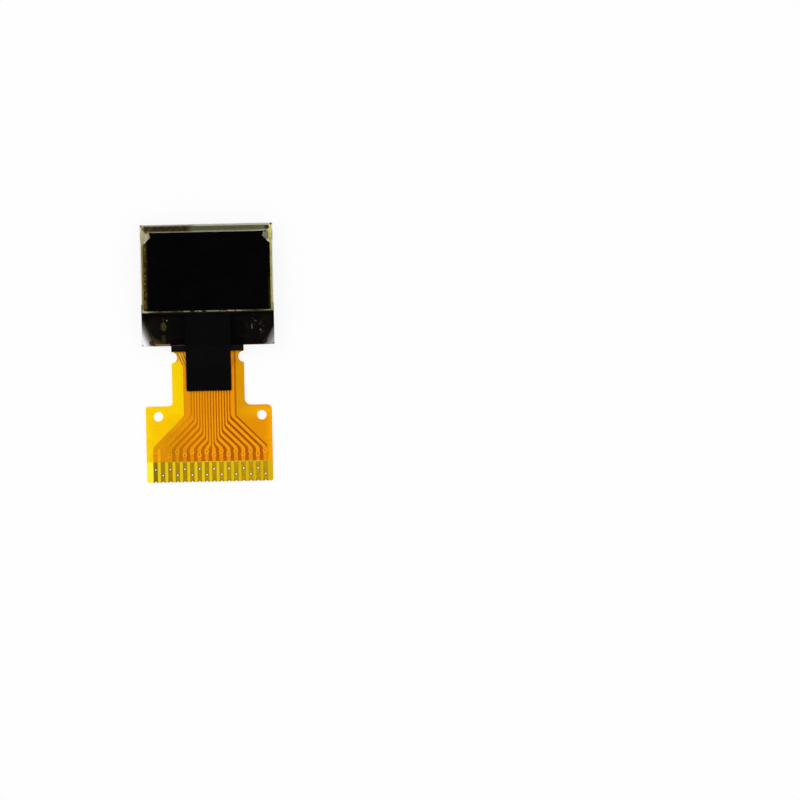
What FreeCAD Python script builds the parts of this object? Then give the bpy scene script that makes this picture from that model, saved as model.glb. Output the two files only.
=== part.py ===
"""A small glass display panel with a flexible solder tail, in millimetres.

The panel lies on its back. The origin is the centre of the rear glass's back face, +Z points out of the viewing
face, and the tail leaves along -Y. Each sub-part is written to its own file in parts/.
"""
import FreeCAD, Part
import math
import os
import re

import Sketcher

# Driving sizes, each an alias of the document's spreadsheet
SIZES = {
    # glass panel
    "glass_width": 12.0,
    "glass_height": 11.0,
    "glass_thick": 0.5,
    "cap_height": 8.0,
    "cap_thick": 0.5,
    "recess_side": 0.9,
    "recess_end": 0.8,
    "recess_depth": 0.25,
    "desiccant_gap": 0.6,
    "desiccant_thick": 0.12,
    # seal between the two glasses
    "seal_thick": 0.05,
    "seal_gap": 0.07,
    "seal_side_width": 0.3,
    "seal_top_width": 0.62,
    "seal_foot_width": 0.17,
    # light-emitting film and its metal electrode
    "film_thick": 0.02,
    "active_side": 1.4,
    "active_height": 5.18,
    "active_offset": 0.05,
    "cathode_border": 0.25,
    # polariser
    "polariser_thick": 0.15,
    "polariser_side_gap": 0.25,
    "polariser_top_gap": 0.72,
    "polariser_foot_gap": 0.2,
    "polariser_cut": 0.55,
    "polariser_neck_drop": 0.43,
    "polariser_bite": 0.13,
    "adhesive_thick": 0.02,
    "adhesive_gap": 0.03,
    # marks on the ledge
    "mark_radius": 0.22,
    "mark_shift": 0.015,
    "mark_offset": 0.33,
    "patch_width": 0.5,
    "patch_height": 0.9,
    "patch_gap": 0.65,
    "patch_offset": 1.78,
    "bar_width": 0.38,
    "bar_height": 0.8,
    "bar_offset": 0.6,
    # driver chip on the ledge
    "chip_width": 6.4,
    "chip_depth": 0.9,
    "chip_thick": 0.3,
    "chip_offset": 1.55,
    "chip_bond_border": 0.15,
    # resin and tape behind the ledge
    "resin_foot_left": 1.15,
    "resin_foot_right": 0.95,
    "resin_taper_left": 2.45,
    "resin_taper_right": 1.7,
    "resin_clearance": 0.02,
    "rear_tape_thick": 0.08,
    "rear_tape_border": 0.12,
    # tail outline
    "tail_offset": -0.1,
    "flex_lap": 0.75,
    "neck_width": 6.56,
    "ear_length": 6.92,
    "ear_gap": 0.28,
    "tail_length": 12.35,
    "ear_corner_left": 0.22,
    "ear_corner_right": 0.45,
    "foot_corner": 0.2,
    "neck_fillet_left": 0.34,
    "neck_fillet_right": 0.56,
    "notch_radius": 0.5,
    "notch_drop": 1.05,
    "hole_radius": 0.425,
    "hole_side": 1.03,
    "hole_offset": 0.11,
    "hole_drop": 0.95,
    # tail layers, from the rear face forwards
    "rear_cover_thick": 0.03,
    "base_thick": 0.04,
    "copper_thick": 0.02,
    "cover_over_copper": 0.03,
    # bend of the tail, just past the glass
    "tail_gap": 0.05,
    "bend_start": 0.1,
    "bend_radius": 2.2,
    "cover_start": 0.02,
    # traces
    "pad_count": 16,
    "pad_length": 1.85,
    "pad_side": 0.74,
    "pad_offset": 0.05,
    "pad_width": 0.38,
    "trace_pitch": 0.25,
    "trace_width": 0.15,
    "trace_gap": 0.1,
    "bundle_offset": 0.17,
    "left_rail_width": 0.6,
    "right_rail_width": 0.38,
    "fan_gap": 0.21,
    "left_fan_gap": 0.05,
    "fan_length": 3.05,
    "fan_corner": 0.12,
    "run_width": 0.35,
    # plated holes
    "via_radius": 0.14,
    "via_bore": 0.08,
    "via_proud": 0.01,
    "upper_via_offset": 1.17,
    "lower_via_offset": 0.64,
    "bite_radius": 0.1,
    "plug_radius": 0.07,
    "upper_plug_offset": 2.75,
    "lower_plug_offset": 2.45,
    "rear_run_length": 1.15,
    # black filler and tape in front
    "filler_length": 0.52,
    "filler_height": 0.3,
    "filler_foot": 0.04,
    "tape_width": 4.08,
    "tape_offset": -0.04,
    "tape_thick": 0.06,
    "tape_lap": 2.85,
    "tape_fold_gap": 0.04,
    "tape_length": 4.12,
    "tape_corner": 0.14,
    "tape_fold_radius": 0.3,
    # spare length of cutting bodies
    "cutter": 1.0,
}

# Heights and places worked out from the sizes, as expressions
GLASS_EDGE = "(cap_height / 2 - glass_height)"
GLASS_BACK = "(cap_thick + seal_thick)"
GLASS_FRONT = "(cap_thick + seal_thick + glass_thick)"
GLASS_MIDDLE = "(cap_height / 2 - glass_height / 2)"
CORE_LOW = "rear_cover_thick"
COPPER_LOW = "(rear_cover_thick + base_thick)"
COPPER_HIGH = "(rear_cover_thick + base_thick + copper_thick)"
COVER_HIGH = "(rear_cover_thick + base_thick + copper_thick + cover_over_copper)"
LEDGE_REAR = f"({GLASS_BACK} - film_thick - {COPPER_HIGH})"
BEND_TURN = f"acos(1 - ({LEDGE_REAR} - tail_gap) / (2 * bend_radius))"
BEND_LENGTH = f"(2 * bend_radius * sin({BEND_TURN}))"
RECESS_WIDTH = "(glass_width - 2 * recess_side)"
RECESS_HEIGHT = "(cap_height - 2 * recess_end)"
ACTIVE_WIDTH = "(glass_width - 2 * active_side)"
POLARISER_SIDE = "(glass_width / 2 - polariser_side_gap)"
PATCH_PLACE = "(neck_width / 2 - tail_offset + patch_gap)"
MARK_PLACE = f"((glass_width / 2 + {PATCH_PLACE} + bar_width / 2) / 2 + mark_shift)"
EAR_DROP = "(tail_length - ear_length)"
EAR_WIDTH = "(glass_width - 2 * ear_gap)"
HOLE_SPACING = f"({EAR_WIDTH} - 2 * hole_side)"
COVER_END = "(tail_length - pad_length)"
FAN_FOOT = "(tail_length - fan_length)"
PAD_PITCH = f"(({EAR_WIDTH} - 2 * pad_side) / (pad_count - 1))"
FIRST_PAD = f"(pad_offset - (pad_count - 1) / 2 * {PAD_PITCH})"
CHIP_NORTH = f"({GLASS_EDGE} + chip_offset)"
CHIP_BACK = f"({GLASS_BACK} - film_thick - chip_thick)"
TAPE_SEAT = f"(tail_gap + {COVER_HIGH})"
TAPE_MEET = f"(bend_start + {BEND_LENGTH} + tape_fold_gap)"

# Flat sides of the small plated holes
VIA_SIDES = 12
PLUG_SIDES = 6

doc = FreeCAD.newDocument("display_panel")


def make_sheet():
    """The spreadsheet that holds every driving size."""
    sheet = doc.addObject("Spreadsheet::Sheet", "sizes")
    for row, (name, number) in enumerate(SIZES.items(), start=1):
        sheet.set(f"A{row}", name)
        sheet.set(f"B{row}", str(number))
        sheet.setAlias(f"B{row}", name)
    doc.recompute()
    return sheet


def bound(text):
    """An expression in which each size is read from the sheet."""
    return re.sub(r"[a-z][a-z_]*", lambda word: f"sizes.{word[0]}" if word[0] in SIZES else word[0], text)


def value(text):
    """The number that an expression gives now."""
    answer = sheet.evalExpression(bound(text))
    return float(getattr(answer, "Value", answer))


def place(item, east="0", north="0", height="0"):
    """Bind an object's place to the sheet."""
    for axis, text in zip("xyz", (east, north, height)):
        if text != "0":
            item.setExpression(f"Placement.Base.{axis}", bound(text))


# Sketches and solids


def new_body(label, pieces_apart=False):
    body = doc.addObject("PartDesign::Body", label)
    body.AllowCompound = pieces_apart
    return body


def new_sketch(body, plane="XY_Plane", height=None):
    """A sketch on one of its own body's origin planes."""
    sketch = body.newObject("Sketcher::SketchObject", f"{body.Name}_sketch")
    support = next(item for item in body.Origin.OriginFeatures if item.Role == plane)
    sketch.AttachmentSupport = [(support, "")]
    sketch.MapMode = "FlatFace"
    if height:
        sketch.setExpression("AttachmentOffset.Base.z", bound(height))
    return sketch


def dimension(sketch, kind, places, text):
    """Add one dimension and bind it to the sheet."""
    index = sketch.addConstraint(Sketcher.Constraint(kind, *places, value(text)))
    sketch.setExpression(f"Constraints[{index}]", bound(text))


def draw_arc(sketch, start, end, radius):
    """Add an arc and say which of its ends comes first. A negative radius turns clockwise."""
    half = (end - start) / 2
    sag = math.sqrt(max(radius**2 - half.Length**2, 0.0)) * math.copysign(1, radius)
    side = FreeCAD.Vector(-half.y, half.x, 0).normalize()
    centre = start + half + side * sag
    first, last = (start, end) if radius > 0 else (end, start)
    angles = [math.atan2(point.y - centre.y, point.x - centre.x) for point in (first, last)]
    circle = Part.Circle(centre, FreeCAD.Vector(0, 0, 1), abs(radius))
    index = sketch.addGeometry(Part.ArcOfCircle(circle, *angles))
    return (index, 1, 2) if radius > 0 else (index, 2, 1)


def draw_outline(sketch, corners):
    """A closed outline through corners given as expressions.

    A corner's third entry, where it has one, is the radius of the arc to the next corner.
    """
    points = [FreeCAD.Vector(value(corner[0]), value(corner[1]), 0) for corner in corners]
    edges = []
    for start, end, corner in zip(points, points[1:] + points[:1], corners):
        if len(corner) == 3:
            edges.append(draw_arc(sketch, start, end, value(corner[2])))
        else:
            edges.append((sketch.addGeometry(Part.LineSegment(start, end)), 1, 2))
    for (index, _, last), (following, first, _) in zip(edges, edges[1:] + edges[:1]):
        sketch.addConstraint(Sketcher.Constraint("Coincident", index, last, following, first))
    for (index, first, _), corner in zip(edges, corners):
        dimension(sketch, "DistanceX", (-1, 1, index, first), corner[0])
        dimension(sketch, "DistanceY", (-1, 1, index, first), corner[1])
        if len(corner) == 3:
            dimension(sketch, "Radius", (index,), f"abs({corner[2]})")


def draw_circle(sketch, east, north, radius):
    centre = FreeCAD.Vector(value(east), value(north), 0)
    index = sketch.addGeometry(Part.Circle(centre, FreeCAD.Vector(0, 0, 1), value(radius)))
    dimension(sketch, "DistanceX", (-1, 1, index, 3), east)
    dimension(sketch, "DistanceY", (-1, 1, index, 3), north)
    dimension(sketch, "Radius", (index,), radius)


def many_sided(east, north, radius, sides):
    """The corners of a small round outline, drawn with a few flat sides."""
    angles = [f"{360 * (number + 0.5) / sides} deg" for number in range(sides)]
    return [(f"{east} + {radius} * cos({angle})", f"{north} + {radius} * sin({angle})") for angle in angles]


def rectangle(width, height, east="0", north="0"):
    """The four corners of a rectangle about a point."""
    left, right = f"{east} - {width} / 2", f"{east} + {width} / 2"
    low, high = f"{north} - {height} / 2", f"{north} + {height} / 2"
    return [(left, low), (right, low), (right, high), (left, high)]


def pad(body, sketch, length, across=False):
    """Pad a sketch, to both sides of it if it lies across the part."""
    feature = body.newObject("PartDesign::Pad", f"{body.Name}_pad")
    feature.Profile = sketch
    feature.setExpression("Length", bound(length))
    if across:
        feature.SideType = "Symmetric"
    return feature


def fillet(body, base, places, radius, axis="z"):
    """Round the edges along one axis that pass through the given places."""
    doc.recompute()
    names = []
    for number, edge in enumerate(base.Shape.Edges, start=1):
        if not isinstance(edge.Curve, Part.Line) or abs(getattr(edge.Curve.Direction, axis)) < 0.999:
            continue
        middle = edge.valueAt((edge.FirstParameter + edge.LastParameter) / 2)
        flat = [getattr(middle, other) for other in "xyz" if other != axis]
        if any(math.dist(flat, [value(text) for text in wanted]) < 1e-4 for wanted in places):
            names.append(f"Edge{number}")
    feature = body.newObject("PartDesign::Fillet", f"{body.Name}_fillet")
    feature.Base = (base, names)
    feature.setExpression("Radius", bound(radius))
    return feature


def repeat(body, feature, count, pitch):
    """Repeat a feature along X."""
    pattern = body.newObject("PartDesign::LinearPattern", f"{body.Name}_row")
    pattern.Originals = [feature]
    pattern.Direction = (feature.Profile[0], ["H_Axis"])
    pattern.setExpression("Length", bound(f"({count} - 1) * {pitch}"))
    pattern.setExpression("Occurrences", bound(count))
    body.Tip = pattern
    return pattern


def plate(label, corners, thick, north="0", height="0", holes=(), east="0"):
    """A flat sheet with one outer outline and any inner ones."""
    body = new_body(label)
    sketch = new_sketch(body)
    draw_outline(sketch, corners)
    for hole in holes:
        draw_outline(sketch, hole)
    pad(body, sketch, thick)
    place(body, east, north, height)
    return body


def boolean(kind, label, base, tool):
    """One Part boolean of two objects."""
    feature = doc.addObject(f"Part::{kind}", label)
    feature.Base = base
    feature.Tool = tool
    return feature


def cut(label, base, *tools):
    """The base less each tool in turn. Only the last result carries the label."""
    for number, tool in enumerate(tools, start=1):
        name = label if number == len(tools) else f"{label}_step_{number}"
        base = boolean("Cut", name, base, tool)
    return base


# Glass panel


def make_front_glass():
    outline = rectangle("glass_width", "glass_height")
    return plate("front_glass", outline, "glass_thick", GLASS_MIDDLE, GLASS_BACK)


def make_cap_glass():
    """The rear glass, with the shallow etched recess of its inner face."""
    body = new_body("cap_glass")
    sheet_outline = new_sketch(body)
    draw_outline(sheet_outline, rectangle("glass_width", "cap_height"))
    pad(body, sheet_outline, "cap_thick")
    recess_outline = new_sketch(body, height="cap_thick")
    draw_outline(recess_outline, rectangle(RECESS_WIDTH, RECESS_HEIGHT))
    recess = body.newObject("PartDesign::Pocket", "cap_glass_recess")
    recess.Profile = recess_outline
    recess.setExpression("Length", bound("recess_depth"))
    return body


def make_seal_frame():
    half_width = "(glass_width / 2 - seal_gap)"
    top, foot = "(cap_height / 2 - seal_gap)", "(-cap_height / 2)"
    inner_side, inner_top = f"({half_width} - seal_side_width)", f"({top} - seal_top_width)"
    inner_foot = f"({foot} + seal_foot_width)"
    outer = [(f"-{half_width}", foot), (half_width, foot), (half_width, top), (f"-{half_width}", top)]
    inner = [
        (f"-{inner_side}", inner_foot),
        (inner_side, inner_foot),
        (inner_side, inner_top),
        (f"-{inner_side}", inner_top),
    ]
    return plate("seal_frame", outer, "seal_thick", height="cap_thick", holes=[inner])


def make_desiccant():
    outline = rectangle(f"({RECESS_WIDTH} - 2 * desiccant_gap)", f"({RECESS_HEIGHT} - 2 * desiccant_gap)")
    return plate("desiccant_patch", outline, "desiccant_thick", height="cap_thick - recess_depth")


def make_emitting_film():
    outline = rectangle(ACTIVE_WIDTH, "active_height")
    return plate("emitting_film", outline, "film_thick", "active_offset", f"{GLASS_BACK} - film_thick")


def make_cathode():
    outline = rectangle(f"({ACTIVE_WIDTH} + 2 * cathode_border)", "(active_height + 2 * cathode_border)")
    return plate("cathode_sheet", outline, "film_thick", "active_offset", f"{GLASS_BACK} - 2 * film_thick")


def polariser_outline(inset):
    """The sheet with its two chamfered, slightly undercut top corners."""
    side = f"({POLARISER_SIDE} - {inset})"
    neck = f"({side} - polariser_cut)"
    bite = f"({neck} - polariser_bite)"
    top = f"(cap_height / 2 - polariser_top_gap - {inset})"
    foot = f"(polariser_foot_gap - cap_height / 2 + {inset})"
    bite_height = "(cap_height / 2 - polariser_top_gap - polariser_neck_drop)"
    shoulder = f"({bite_height} - ({side} - {bite}))"
    right = [(side, foot), (side, shoulder), (bite, bite_height), (neck, top)]
    left = [(f"-{east}", north) for east, north in reversed(right)]
    return right + left


def make_polariser():
    height = f"{GLASS_FRONT} + adhesive_thick"
    return plate("polariser", polariser_outline("0"), "polariser_thick", height=height)


def make_adhesive():
    return plate("polariser_adhesive", polariser_outline("adhesive_gap"), "adhesive_thick", height=GLASS_FRONT)


def make_marks():
    """Metal marks on the ledge's rear face: two round ones, a long hexagon and a bar."""
    body = new_body("alignment_marks", pieces_apart=True)
    sketch = new_sketch(body)
    for side in ("-", ""):
        draw_circle(sketch, f"{side}{MARK_PLACE}", "mark_offset", "mark_radius")
    west, east = f"(-{PATCH_PLACE} - patch_width / 2)", f"(-{PATCH_PLACE} + patch_width / 2)"
    middle = f"-{PATCH_PLACE}"
    tip, shoulder = "patch_height / 2", "patch_height / 4"
    hexagon = [
        (west, f"patch_offset - {shoulder}"),
        (middle, f"patch_offset - {tip}"),
        (east, f"patch_offset - {shoulder}"),
        (east, f"patch_offset + {shoulder}"),
        (middle, f"patch_offset + {tip}"),
        (west, f"patch_offset + {shoulder}"),
    ]
    draw_outline(sketch, hexagon)
    draw_outline(sketch, rectangle("bar_width", "bar_height", middle, "bar_offset"))
    pad(body, sketch, "film_thick")
    place(body, north=GLASS_EDGE, height=f"{GLASS_BACK} - film_thick")
    return body


# Driver chip and what covers it


def make_chip():
    height = f"{GLASS_BACK} - film_thick - chip_thick"
    return plate("driver_chip", rectangle("chip_width", "chip_depth"), "chip_thick", CHIP_NORTH, height)


def make_chip_bond():
    outline = rectangle("(chip_width + 2 * chip_bond_border)", "(chip_depth + 2 * chip_bond_border)")
    return plate("chip_bond_film", outline, "film_thick", CHIP_NORTH, f"{GLASS_BACK} - film_thick")


def make_flex_bond():
    outline = rectangle("neck_width", "flex_lap")
    north = f"{GLASS_EDGE} + flex_lap / 2"
    height = f"{GLASS_BACK} - film_thick"
    return plate("flex_bond_film", outline, "film_thick", north, height, east="tail_offset")


def resin_outline(border):
    """The ledge, with its two lower corners left bare by a taper of their own length each."""
    side = f"(glass_width / 2 - resin_clearance - {border})"
    left_foot = f"(glass_width / 2 - resin_foot_left - {border})"
    right_foot = f"(glass_width / 2 - resin_foot_right - {border})"
    top = f"(-cap_height / 2 - resin_clearance - {border})"
    low = f"({GLASS_EDGE} + {border})"
    return [
        (f"-{left_foot}", low),
        (right_foot, low),
        (side, f"({GLASS_EDGE} + resin_taper_right)"),
        (side, top),
        (f"-{side}", top),
        (f"-{side}", f"({GLASS_EDGE} + resin_taper_left)"),
    ]


def make_resin(chip, chip_bond, marks):
    """Black resin behind the ledge, as deep as the chip, with room for the chip, the marks and the tail."""
    block = plate("resin_block", resin_outline("0"), "chip_thick + film_thick", height=CHIP_BACK)
    outline = rectangle("neck_width", "flex_lap")
    north = f"{GLASS_EDGE} + flex_lap / 2"
    lap = plate("lap_pocket", outline, f"{GLASS_BACK} - {LEDGE_REAR}", north, LEDGE_REAR, east="tail_offset")
    return cut("ledge_resin", block, chip, chip_bond, lap, marks)


def make_rear_tape():
    corners = resin_outline("rear_tape_border")
    return plate("rear_tape", corners, "rear_tape_thick", height=f"{CHIP_BACK} - rear_tape_thick")


# Tail: outline, layers and bend


def make_tail_outline():
    """An upright prism of the tail's outline, with its corners, notches and two locating holes."""
    body = new_body("tail_outline")
    sketch = new_sketch(body)
    neck, ear = "neck_width / 2", f"{EAR_WIDTH} / 2"
    ear_top = f"-{EAR_DROP}"
    left = [(f"-{neck}", "flex_lap"), (f"-{neck}", ear_top), (f"-{ear}", ear_top), (f"-{ear}", "-tail_length")]
    right = [(ear, "-tail_length"), (ear, ear_top), (neck, ear_top), (neck, "flex_lap")]
    draw_outline(sketch, left + right)
    solid = pad(body, sketch, "cutter")
    for east, radius in (
        (f"-{ear}", "ear_corner_left"),
        (ear, "ear_corner_right"),
        (f"-{neck}", "neck_fillet_left"),
        (neck, "neck_fillet_right"),
    ):
        solid = fillet(body, solid, [(east, ear_top)], radius)
    foot = [(f"-{ear}", "-tail_length"), (ear, "-tail_length")]
    fillet(body, solid, foot, "foot_corner")
    openings = new_sketch(body, height="cutter")
    for side in ("-", "+"):
        draw_circle(openings, f"{side}{neck}", "-notch_drop", "notch_radius")
        east = f"hole_offset {side} {HOLE_SPACING} / 2"
        draw_circle(openings, east, f"-{EAR_DROP} - hole_drop", "hole_radius")
    through = body.newObject("PartDesign::Pocket", "tail_openings")
    through.Profile = openings
    through.Type = "ThroughAll"
    place(body, "tail_offset", GLASS_EDGE)
    return body


def bend_corners(depth):
    """The bend's three corners in side view, from the glass outwards, at one height above the rear face."""
    upper = ("-bend_start", f"{LEDGE_REAR} + {depth}")
    join = (
        f"-bend_start - (bend_radius + {depth}) * sin({BEND_TURN})",
        f"{LEDGE_REAR} - bend_radius + (bend_radius + {depth}) * cos({BEND_TURN})",
    )
    lower = (f"-bend_start - {BEND_LENGTH}", f"tail_gap + {depth}")
    return upper, join, lower


def bent_layer(label, low, high, start, end):
    """A slab that follows the tail's bend, between two heights above its rear face and two places along it."""
    body = new_body(label)
    sketch = new_sketch(body, "YZ_Plane")
    upper, join, lower = bend_corners(high)
    top = [
        (start, f"{LEDGE_REAR} + {high}"),
        (*upper, f"(bend_radius + {high})"),
        (*join, f"-(bend_radius - {high})"),
        lower,
        (end, f"tail_gap + {high}"),
    ]
    upper, join, lower = bend_corners(low)
    bottom = [
        (end, f"tail_gap + {low}"),
        (*lower, f"(bend_radius - {low})"),
        (*join, f"-(bend_radius + {low})"),
        upper,
        (start, f"{LEDGE_REAR} + {low}"),
    ]
    draw_outline(sketch, top + bottom)
    pad(body, sketch, f"({EAR_WIDTH} + cutter)", across=True)
    place(body, "tail_offset", GLASS_EDGE)
    return body


def layer(label, outline, low, high, start, end):
    """One layer of the tail: its outline's share of a bent slab."""
    return boolean("Common", label, outline, bent_layer(f"{label}_slab", low, high, start, end))


# Tail: copper


def eased_wire(points, reach):
    """A closed flat wire whose gentle corners are cut back by a short side."""
    corners = []
    for before, corner, after in zip(points[-1:] + points[:-1], points, points[1:] + points[:1]):
        back, ahead = before - corner, after - corner
        if back.getAngle(ahead) < 0.6 * math.pi:
            corners.append(corner)
            continue
        for side in (back, ahead):
            corners.append(corner + FreeCAD.Vector(side).normalize() * min(reach, 0.4 * side.Length))
    return Part.makePolygon(corners + corners[:1])


def trace_starts():
    """Where each trace's middle lies in the neck, from left to right, and how wide it is there."""
    count = int(value("pad_count"))
    width, gap = value("trace_width"), value("trace_gap")
    left_rail, right_rail = value("left_rail_width"), value("right_rail_width")
    first = value("bundle_offset") - (count - 1) / 2 * value("trace_pitch")
    places = [first + index * value("trace_pitch") for index in range(count)]
    places[0] = places[1] - width / 2 - gap - left_rail / 2
    places[-1] = places[-2] + width / 2 + gap + right_rail / 2
    return list(zip(places, [left_rail] + [width] * (count - 2) + [right_rail]))


def trace_side(start, width, foot, fan_width, side):
    """One side of a trace: down the neck, aslant at 45 degrees, and down to its pad."""
    lean = math.copysign(1, foot - start)
    neck_east = start + side * width / 2
    run_east = foot + side * value("run_width") / 2
    slant_east = foot + side * fan_width / math.sqrt(2)
    upper = lean * (slant_east - neck_east) - value(FAN_FOOT)
    lower = lean * (slant_east - run_east) - value(FAN_FOOT)
    if upper - lower < width:
        upper, lower = (upper + lower + width) / 2, (upper + lower - width) / 2
    top, end = value("flex_lap"), -value(COVER_END)
    stops = [(neck_east, top), (neck_east, upper), (run_east, lower), (run_east, end)]
    return [FreeCAD.Vector(east, north, 0) for east, north in stops]


def make_trace_outlines():
    """Upright prisms of the traces, which fan out from the neck's fine pitch to the pads' own."""
    prisms = []
    for index, (start, width) in enumerate(trace_starts()):
        foot = value(FIRST_PAD) + index * value(PAD_PITCH)
        fan_width = value(PAD_PITCH) / math.sqrt(2) - value("left_fan_gap" if index < 2 else "fan_gap")
        left = trace_side(start, width, foot, fan_width, -1)
        right = trace_side(start, width, foot, fan_width, 1)
        face = Part.Face(eased_wire(left + right[::-1], value("fan_corner")))
        prisms.append(face.extrude(FreeCAD.Vector(0, 0, value("cutter"))))
    feature = doc.addObject("Part::Feature", "trace_outlines")
    feature.Shape = Part.makeCompound(prisms)
    place(feature, "tail_offset", GLASS_EDGE)
    return feature


def make_traces(outlines):
    slab = bent_layer("copper_slab", COPPER_LOW, COPPER_HIGH, "flex_lap", f"-{COVER_END}")
    return boolean("Common", "front_traces", outlines, slab)


def pad_row(label, length, height):
    """A row of plain pads that end at the tail's foot."""
    body = new_body(label, pieces_apart=True)
    sketch = new_sketch(body)
    draw_outline(sketch, rectangle("pad_width", length, FIRST_PAD, f"({length} / 2 - tail_length)"))
    repeat(body, pad(body, sketch, "copper_thick"), "pad_count", PAD_PITCH)
    place(body, "tail_offset", GLASS_EDGE, f"tail_gap + {height}")
    return body


def hole_row(label, circles, low, high):
    """Round solids that repeat at every second pad.

    Each is given by its pad, its distance from the tail's foot, its radius and its number of sides.
    """
    body = new_body(label, pieces_apart=True)
    sketch = new_sketch(body)
    for pad_number, rise, radius, sides in circles:
        east, north = f"{FIRST_PAD} + {pad_number} * {PAD_PITCH}", f"{rise} - tail_length"
        draw_outline(sketch, many_sided(east, north, radius, sides))
    repeat(body, pad(body, sketch, f"{high} - ({low})"), "floor(pad_count / 2)", f"(2 * {PAD_PITCH})")
    place(body, "tail_offset", GLASS_EDGE, f"tail_gap + {low}")
    return body


def make_drills():
    """Cutting bodies for the plated holes and for the half holes along the tail's foot."""
    circles = [
        (0, "upper_via_offset", "via_radius", VIA_SIDES),
        (1, "lower_via_offset", "via_radius", VIA_SIDES),
        (0, "0", "bite_radius", VIA_SIDES),
        (1, "0", "bite_radius", VIA_SIDES),
    ]
    return hole_row("hole_drills", circles, "-cutter / 4", "cutter / 4")


def make_vias():
    """Plated barrels that join each front pad to its rear pad and stand a little proud."""
    circles = [
        (number, rise, radius, VIA_SIDES)
        for number, rise in enumerate(("upper_via_offset", "lower_via_offset"))
        for radius in ("via_radius", "via_bore")
    ]
    return hole_row("plated_vias", circles, "rear_cover_thick - copper_thick", f"{COPPER_HIGH} + via_proud")


def make_plugs():
    """Filled holes that join the traces to the rear copper under the cover films."""
    circles = [
        (0, "lower_plug_offset", "plug_radius", PLUG_SIDES),
        (1, "upper_plug_offset", "plug_radius", PLUG_SIDES),
    ]
    return hole_row("covered_vias", circles, "rear_cover_thick", COPPER_HIGH)


# Filler and tape in front


def side_profile(label, corners, width, offset):
    """A solid of one side view across the part."""
    body = new_body(label)
    sketch = new_sketch(body, "YZ_Plane")
    draw_outline(sketch, corners)
    solid = pad(body, sketch, width, across=True)
    place(body, offset, GLASS_EDGE)
    return body, solid


def make_filler(tail_block):
    """Black filler in the step between the glass's lower edge and the tail."""
    reach = "(filler_length - bend_start)"
    seat = f"({LEDGE_REAR} - bend_radius + sqrt((bend_radius + {COVER_HIGH})^2 - {reach}^2))"
    inside = f"{LEDGE_REAR} + rear_cover_thick"
    corners = [
        ("0", inside),
        ("0", f"{GLASS_BACK} + filler_height"),
        ("-filler_length", f"{seat} + filler_foot"),
        ("-filler_length", inside),
    ]
    block, _ = side_profile("filler_block", corners, "neck_width", "tail_offset")
    return cut("edge_filler", block, tail_block)


def make_shield_tape():
    """Black tape from the ledge's front, folded over the glass's edge and down on the tail."""
    slope = f"atan(({GLASS_FRONT} - {TAPE_SEAT}) / {TAPE_MEET})"
    shift = f"(tape_thick * tan({slope} / 2))"
    outer_edge = (f"-{shift}", f"{GLASS_FRONT} + tape_thick")
    outer_fold = (f"-{TAPE_MEET} - {shift}", f"{TAPE_SEAT} + tape_thick")
    corners = [
        ("tape_lap", GLASS_FRONT),
        ("0", GLASS_FRONT),
        (f"-{TAPE_MEET}", TAPE_SEAT),
        ("-tape_length", TAPE_SEAT),
        ("-tape_length", f"{TAPE_SEAT} + tape_thick"),
        outer_fold,
        outer_edge,
        ("tape_lap", f"{GLASS_FRONT} + tape_thick"),
    ]
    body, solid = side_profile("shield_tape", corners, "tape_width", "tape_offset")
    solid = fillet(body, solid, [outer_edge, outer_fold], "tape_fold_radius", axis="x")
    ends = [(f"{side} tape_width / 2", "-tape_length") for side in ("-", "+")]
    fillet(body, solid, ends, "tape_corner")
    return body


def make_tail():
    """All layers of the tail, by their labels."""
    outline = make_tail_outline()
    drills, plugs, vias = make_drills(), make_plugs(), make_vias()
    traces = make_traces(make_trace_outlines())
    rear_low = "(rear_cover_thick - copper_thick)"
    front_row = pad_row("front_pad_row", "pad_length", COPPER_LOW)
    rear_row = pad_row("rear_pad_row", "(pad_length + rear_run_length)", rear_low)
    rear_pads = cut("rear_pads", rear_row, drills)
    base = layer("base_sheet", outline, CORE_LOW, COPPER_LOW, "flex_lap", "-tail_length")
    front = layer("front_sheet", outline, COPPER_LOW, COVER_HIGH, "-cover_start", f"-{COVER_END}")
    rear = layer("rear_sheet", outline, "0", CORE_LOW, "flex_lap", f"-{COVER_END}")
    tail_block = bent_layer("tail_block", "0", COVER_HIGH, "0.5 * flex_lap", f"-{COVER_END}")
    return {
        "flex_base": cut("flex_base", base, drills, plugs),
        "front_traces": cut("front_traces", traces, plugs),
        "contact_pads": cut("contact_pads", front_row, drills),
        "rear_pads": rear_pads,
        "plated_vias": vias,
        "covered_vias": plugs,
        "front_cover_film": cut("front_cover_film", front, traces),
        "rear_cover_film": cut("rear_cover_film", rear, rear_pads),
        "edge_filler": make_filler(tail_block),
    }


def make_panel():
    """All pieces of the glass panel and its ledge, by their labels."""
    chip, chip_bond, marks = make_chip(), make_chip_bond(), make_marks()
    return {
        "front_glass": make_front_glass(),
        "cap_glass": make_cap_glass(),
        "seal_frame": make_seal_frame(),
        "desiccant_patch": make_desiccant(),
        "emitting_film": make_emitting_film(),
        "cathode_sheet": make_cathode(),
        "polariser": make_polariser(),
        "polariser_adhesive": make_adhesive(),
        "alignment_marks": marks,
        "driver_chip": chip,
        "chip_bond_film": chip_bond,
        "flex_bond_film": make_flex_bond(),
        "ledge_resin": make_resin(chip, chip_bond, marks),
        "rear_tape": make_rear_tape(),
        "shield_tape": make_shield_tape(),
    }


def check(parts):
    """Stop if any object failed or any sub-part is not a sound shape."""
    doc.recompute()
    failed = [item.Name for item in doc.Objects if {"Invalid", "Error"} & set(item.State)]
    if failed:
        raise RuntimeError(f"objects that failed: {failed}")
    for label, item in parts.items():
        if item.Shape.isNull() or not item.Shape.isValid() or not item.Shape.Solids:
            raise RuntimeError(f"{label} is not a sound solid")


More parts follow.
